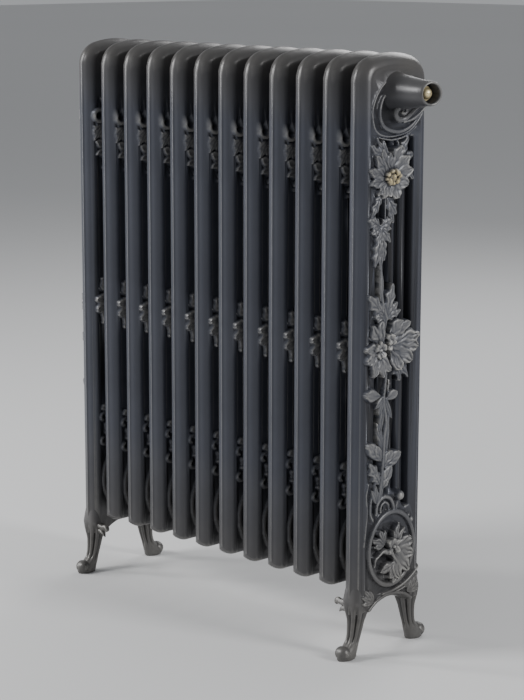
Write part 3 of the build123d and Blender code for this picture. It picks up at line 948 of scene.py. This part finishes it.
def iron_paint():
    m = Nodes("iron_paint")
    place_on = m.add("ShaderNodeTexCoord").outputs["Object"]
    relief = m.add("ShaderNodeAttribute", attribute_name="relief").outputs["Fac"]
    gilt = m.add("ShaderNodeAttribute", attribute_name="gilt").outputs["Fac"]
    z = m.add("ShaderNodeSeparateXYZ", {0: place_on}).outputs["Z"]
    cloud = m.noise(7.0, 4.0, 0.6, place_on)
    grain = m.noise(330.0, 3.0, 0.7, place_on)
    pits = m.noise(900.0, 2.0, 0.6, place_on)
    cool = m.mix(cloud, (0.034, 0.037, 0.049), (0.070, 0.075, 0.094))
    warm = m.mix(cloud, (0.060, 0.056, 0.050), (0.115, 0.108, 0.098))
    worn = m.math("ADD", m.map_range(z, 0.88, 0.98, 0.0, 0.85), m.map_range(z, 0.30, 0.09, 0.0, 0.85), True)
    worn = m.math("MULTIPLY", worn, m.math("ADD", m.math("MULTIPLY", cloud, 0.8), 0.5), True)
    base = m.mix(worn, cool, warm)
    pointiness = m.add("ShaderNodeNewGeometry").outputs["Pointiness"]
    edge = m.map_range(pointiness, 0.515, 0.575, 0.0, 1.0)
    # painted shade: concave creases and hollows, found by pointiness, are darkened towards near-black
    painted_crevice_shade = m.map_range(pointiness, 0.49, 0.44, 0.0, 0.9)
    patch = m.noise(70.0, 3.0, 0.6, place_on)
    rub = m.math("MULTIPLY", m.math("ADD", m.math("MULTIPLY", grain, 1.1), 0.35),
                 m.math("ADD", m.math("MULTIPLY", patch, 1.2), 0.45))
    # the relief attribute: dry-brushed paint, plus a painted highlight on high tips and painted shade at low
    # roots
    brush_and_painted_light = m.math("MULTIPLY", relief, rub, True)
    tone = m.math("MAXIMUM", brush_and_painted_light, m.math("MULTIPLY", edge, m.math("MULTIPLY", rub, 0.6)), True)
    highlight = m.mix(gilt, (0.40, 0.39, 0.365), (0.56, 0.46, 0.25))
    colour = m.mix(tone, base, highlight)
    # painted shade mixed into the creases and hollows
    colour = m.mix(painted_crevice_shade, colour, (0.012, 0.012, 0.014))
    m.link(colour, "Base Color")
    rough = m.math("ADD", m.math("MULTIPLY", grain, 0.20), 0.27)
    m.link(m.math("ADD", rough, m.math("MULTIPLY", tone, 0.18)), "Roughness")
    m.shader.inputs["Metallic"].default_value = 0.30
    m.shader.inputs["Specular IOR Level"].default_value = 0.5
    m.bump(m.math("ADD", m.math("MULTIPLY", grain, 0.6), m.math("MULTIPLY", pits, 0.4)), 0.20, 0.0006)
    return m.material


def brass():
    m = Nodes("vent_brass")
    place_on = m.add("ShaderNodeTexCoord").outputs["Object"]
    stain = m.noise(160.0, 4.0, 0.6, place_on)
    grain = m.noise(1500.0, 2.0, 0.5, place_on)
    m.link(m.ramp(stain, (0.35, (0.46, 0.38, 0.22)), (0.62, (0.78, 0.68, 0.42))), "Base Color")
    m.link(m.math("ADD", m.math("MULTIPLY", stain, 0.25), 0.30), "Roughness")
    m.shader.inputs["Metallic"].default_value = 0.75
    m.bump(grain, 0.10, 0.0002)
    return m.material


def dark_fitting(name, low, high, rough):
    m = Nodes(name)
    place_on = m.add("ShaderNodeTexCoord").outputs["Object"]
    cloud = m.noise(60.0, 4.0, 0.6, place_on)
    grain = m.noise(800.0, 3.0, 0.6, place_on)
    m.link(m.mix(cloud, low, high), "Base Color")
    m.link(m.math("ADD", m.math("MULTIPLY", grain, 0.2), rough), "Roughness")
    m.shader.inputs["Metallic"].default_value = 0.4
    m.bump(grain, 0.15, 0.0004)
    return m.material


# ---- camera, floor and light ----------------------------------------------------------------------
AZIMUTH, ELEVATION, ROLL = radians(45.77), radians(11.12), radians(0.11)
NOMINAL_HEIGHT = 1000.0
CAMERA_AT = (2592.2, -2474.7, 1169.9)       # from the row's middle, for the nominal height
LENS = 106.3


def make_camera():
    scale = TOP / NOMINAL_HEIGHT
    row_middle = (SECTION_X[1] + SECTION_X[12]) / 2
    back = Vector((sin(AZIMUTH) * cos(ELEVATION), -cos(AZIMUTH) * cos(ELEVATION), sin(ELEVATION)))
    right = Vector((cos(AZIMUTH), sin(AZIMUTH), 0))
    up = back.cross(right)
    right, up = right * cos(ROLL) + up * sin(ROLL), up * cos(ROLL) - right * sin(ROLL)
    data = bpy.data.cameras.new("camera")
    data.lens = LENS
    data.sensor_width = 36
    data.clip_end = 50
    camera = bpy.data.objects.new("camera", data)
    camera.matrix_world = Matrix((
        (right.x, up.x, back.x, (CAMERA_AT[0] * scale + row_middle) * MM),
        (right.y, up.y, back.y, CAMERA_AT[1] * scale * MM),
        (right.z, up.z, back.z, CAMERA_AT[2] * scale * MM),
        (0, 0, 0, 1)))
    bpy.context.scene.collection.objects.link(camera)
    bpy.context.scene.camera = camera


def make_floor():
    m = Nodes("floor")
    m.link(m.ramp(m.noise(3.0), (0.3, grey(0.60)), (0.7, grey(0.63))), "Base Color")
    m.shader.inputs["Roughness"].default_value = 0.9
    size = 30.0
    mesh = bpy.data.meshes.new("floor")
    corners = [(-size, -size, 0), (size, -size, 0), (size, size, 0), (-size, size, 0)]
    mesh.from_pydata(corners, [], [(0, 1, 2, 3)])
    mesh.materials.append(m.material)
    floor = bpy.data.objects.new("floor", mesh)
    bpy.context.scene.collection.objects.link(floor)


def area_light(name, place_at, target, size, power):
    data = bpy.data.lights.new(name, "AREA")
    data.shape = "RECTANGLE"
    data.size, data.size_y = size
    data.energy = power
    lamp = bpy.data.objects.new(name, data)
    lamp.location = place_at
    lamp.rotation_euler = (Vector(target) - Vector(place_at)).to_track_quat("-Z", "Y").to_euler()
    bpy.context.scene.collection.objects.link(lamp)


def make_light():
    area_light("key", (-1.9, -3.0, 2.6), (0, 0, 0.6), (1.2, 1.2), 130)
    area_light("side", (3.9, 0.9, 2.1), (0.3, 0, 0.6), (0.9, 1.8), 110)
    area_light("strip", (-2.8, -1.7, 1.2), (0, 0, 0.55), (0.35, 2.2), 60)
    area_light("back", (-1.0, 3.2, 2.8), (0, 0, 0.6), (2.0, 1.5), 60)
    world = bpy.data.worlds.new("studio")
    world.use_nodes = True
    world.node_tree.nodes["Background"].inputs["Color"].default_value = (0.82, 0.84, 0.87, 1)
    world.node_tree.nodes["Background"].inputs["Strength"].default_value = 0.45
    bpy.context.scene.world = world


# ---- the radiator ------------------------------------------------------------------------------------
GAP_RELIEF = 0.75                # ornament between the sections is lower, to clear its neighbour
END_ZONES = ((ARCH_Z, 400), (400, 680), (680, WARP_Z + 1), (WARP_Z, 975))


def middle_mesh():
    y, z = section_grid(1.7, 16.0, MIDDLE_ZONES, False)
    shells = [skin(y, z, face_height(y, z, "middle", False, GAP_RELIEF),
                   face_height(y, z, "middle", False, 0.8 * GAP_RELIEF, 14))]
    shells += [hub_shell(HUB_Z[k], -JOINT_REACH, JOINT_REACH) for k in HUB_Z]
    return thin_out(build_mesh("middle_section", shells), 0.45, MIDDLE_ZONES)


def end_mesh(name, outward, kind):
    """An end section: outward is the side of its free face."""
    y, z = section_grid(1.25, 8.0, END_ZONES, True)
    outer = face_height(y, z, kind, True, 1.0, 6.5 if outward > 0 else 11)
    inner = face_height(y, z, "middle", True, GAP_RELIEF, 14 if outward > 0 else 6.5)
    shells = [skin(y, z, outer, inner) if outward > 0 else skin(y, z, inner, outer)]
    if outward > 0:
        shells += [hub_shell(HUB_Z[k], -JOINT_REACH, -10) for k in HUB_Z]
        shells += [hood_shell() + (WORN["hood"],), hood_scroll()]
    else:
        shells += [hub_shell(HUB_Z[k], -PITCH / 2, JOINT_REACH) for k in HUB_Z]
    shells += leg_shells(-outward)
    return thin_out(build_mesh(name, shells), 0.375, ((ARCH_Z, 985),))


def make_radiator():
    paint = iron_paint()
    shared = middle_mesh()
    for number in range(1, 13):
        mesh = shared
        if number == 1:
            mesh = end_mesh("left_section", -1, "ports")
        if number == 12:
            mesh = end_mesh("right_section", 1, "hood")
        casting = place(f"casting_{number:02d}", mesh, SECTION_X[number], "radiator", "iron_paint", [paint])
        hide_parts(f"section_{number:02d}")


def paint_nodes():
    fittings = {
        "vent_brass": brass(),
        "bare_iron": dark_fitting("bare_iron", (0.10, 0.09, 0.08), (0.20, 0.19, 0.17), 0.4),
        "bushing_iron": dark_fitting("bushing_iron", (0.07, 0.075, 0.085), (0.13, 0.13, 0.14), 0.35),
        "sealing": dark_fitting("sealing", (0.05, 0.045, 0.04), (0.10, 0.09, 0.08), 0.7),
    }
    for part in frame["record"]["subparts"]:
        if part["material_slot"] in fittings:
            node = frame["nodes"][part["node"]]
            for index in range(len(node.material_slots)):
                node.material_slots[index].material = fittings[part["material_slot"]]


make_camera()
make_floor()
make_light()
make_radiator()
paint_nodes()
